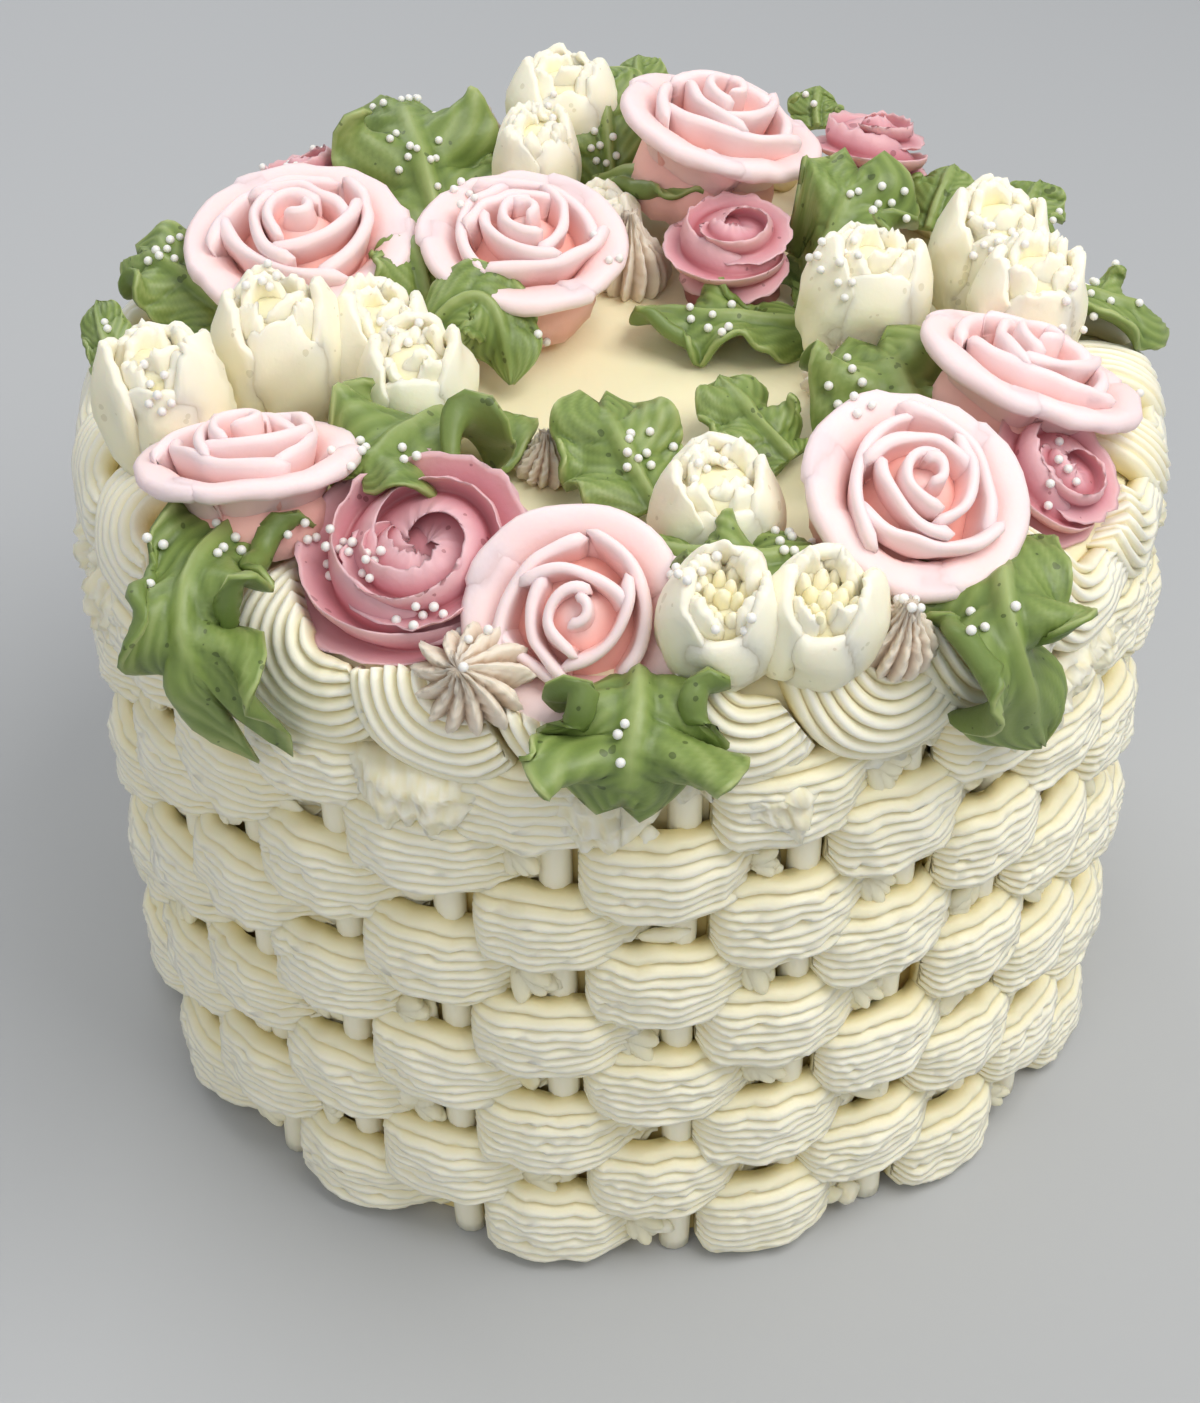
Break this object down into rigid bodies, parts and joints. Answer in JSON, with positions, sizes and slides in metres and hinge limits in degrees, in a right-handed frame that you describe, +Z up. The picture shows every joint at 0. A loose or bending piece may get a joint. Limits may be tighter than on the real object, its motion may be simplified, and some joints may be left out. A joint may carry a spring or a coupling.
{
  "type": "buttercream cake",
  "caption": "Tall round basket-weave buttercream cake with a scalloped rim and a ring of piped roses, tulips, rosettes, leaves and white sugar pearls on top.",
  "frame": {"origin": "middle of the cake's flat underside, on its upright axis", "axes": "+Z up, -Y towards the front as pictured, +X to the right seen from the front"},
  "size_m": [0.2111, 0.2162, 0.1672],
  "materials": {
    "buttercream": "satin ivory buttercream",
    "rose_icing": "matt pale pink icing, deeper inside",
    "tulip_icing": "satin pale ivory buttercream, yellow inside",
    "rosette_icing": "satin dusty pink buttercream",
    "star_icing": "satin taupe buttercream",
    "leaf_icing": "satin leaf green buttercream",
    "pearl": "white sugar pearls"
  },
  "bodies": {
    "root": {"cake": "buttercream", "rose_1": "rose_icing", "rose_2": "rose_icing", "rose_3": "rose_icing", "rose_4": "rose_icing", "rose_5": "rose_icing", "rose_6": "rose_icing", "rose_7": "rose_icing", "tulip_1": "tulip_icing", "tulip_2": "tulip_icing", "tulip_3": "tulip_icing", "tulip_4": "tulip_icing", "tulip_5": "tulip_icing", "tulip_6": "tulip_icing", "tulip_7": "tulip_icing", "tulip_8": "tulip_icing", "tulip_9": "tulip_icing", "tulip_10": "tulip_icing", "tulip_11": "tulip_icing", "tulip_12": "tulip_icing", "tulip_13": "tulip_icing", "rosette_1": "rosette_icing", "rosette_2": "rosette_icing", "rosette_3": "rosette_icing", "rosette_4": "rosette_icing", "rosette_5": "rosette_icing", "star_1": "star_icing", "star_2": "star_icing", "star_3": "star_icing", "star_4": "star_icing", "star_5": "star_icing", "star_6": "star_icing", "leaf_1": "leaf_icing", "leaf_2": "leaf_icing", "leaf_3": "leaf_icing", "leaf_4": "leaf_icing", "leaf_5": "leaf_icing", "leaf_6": "leaf_icing", "leaf_7": "leaf_icing", "leaf_8": "leaf_icing", "leaf_9": "leaf_icing", "leaf_10": "leaf_icing", "leaf_11": "leaf_icing", "leaf_12": "leaf_icing", "leaf_13": "leaf_icing", "leaf_14": "leaf_icing", "leaf_15": "leaf_icing", "leaf_16": "leaf_icing", "leaf_17": "leaf_icing", "leaf_18": "leaf_icing", "leaf_19": "leaf_icing", "leaf_20": "leaf_icing", "leaf_21": "leaf_icing", "leaf_22": "leaf_icing"}
  },
  "joints": []
}
